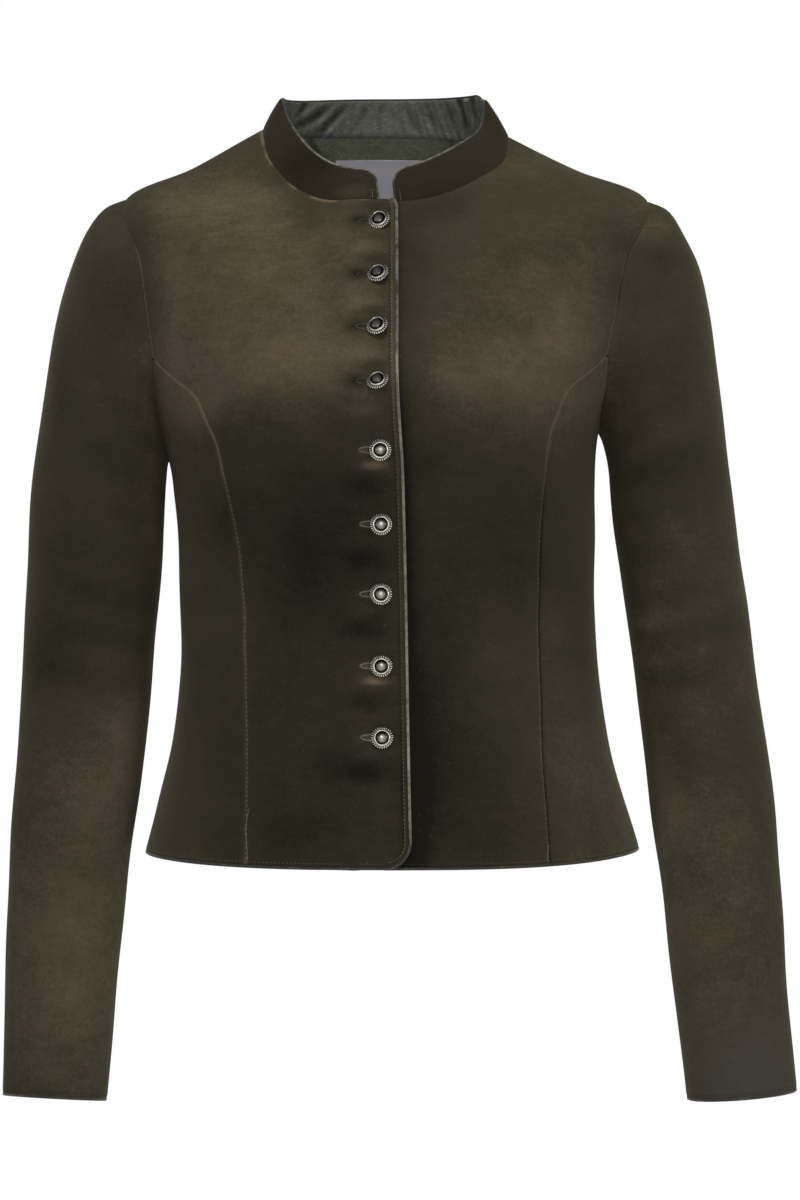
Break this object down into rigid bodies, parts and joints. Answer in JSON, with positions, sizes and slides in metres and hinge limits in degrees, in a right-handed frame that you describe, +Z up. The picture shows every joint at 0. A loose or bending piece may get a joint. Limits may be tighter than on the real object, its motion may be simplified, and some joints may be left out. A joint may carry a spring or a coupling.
{
  "type": "trachten jacket",
  "caption": "Short fitted velvet folk-costume jacket with a stand collar, long set-in sleeves, satin piping and domed metal buttons, closed and filled out as when worn.",
  "frame": {"origin": "middle of the neck opening, at the height where the shoulder seams meet the stand collar; a wearer's shoulders or a hanger carry the jacket there", "axes": "+Z up, -Y towards the front closure, +X towards the wearer's left"},
  "size_m": [0.5838, 0.2523, 0.7485],
  "materials": {
    "velvet": "cotton velvet, dark olive brown, mottled nap",
    "lining": "dark grey-green jacquard satin",
    "piping": "grey-green satin cord",
    "label": "pale lilac-grey woven satin, bare",
    "buttons": "antique silver, darkened in the recesses"
  },
  "bodies": {
    "root": {"front_right": "velvet", "front_left": "velvet", "side_front_right": "velvet", "side_front_left": "velvet", "side_back_right": "velvet", "side_back_left": "velvet", "back_centre": "velvet", "sleeve_left": "velvet", "piping_cuff_left": "piping", "sleeve_right": "velvet", "piping_cuff_right": "piping", "collar": "velvet", "collar_lining": "lining", "piping_collar": "piping", "piping_front_hem": "piping", "back_neck_lining": "lining", "neck_label": "label", "button_1": "buttons", "button_2": "buttons", "button_3": "buttons", "button_4": "buttons", "button_5": "buttons", "button_6": "buttons", "button_7": "buttons", "button_8": "buttons", "button_9": "buttons"}
  },
  "joints": []
}
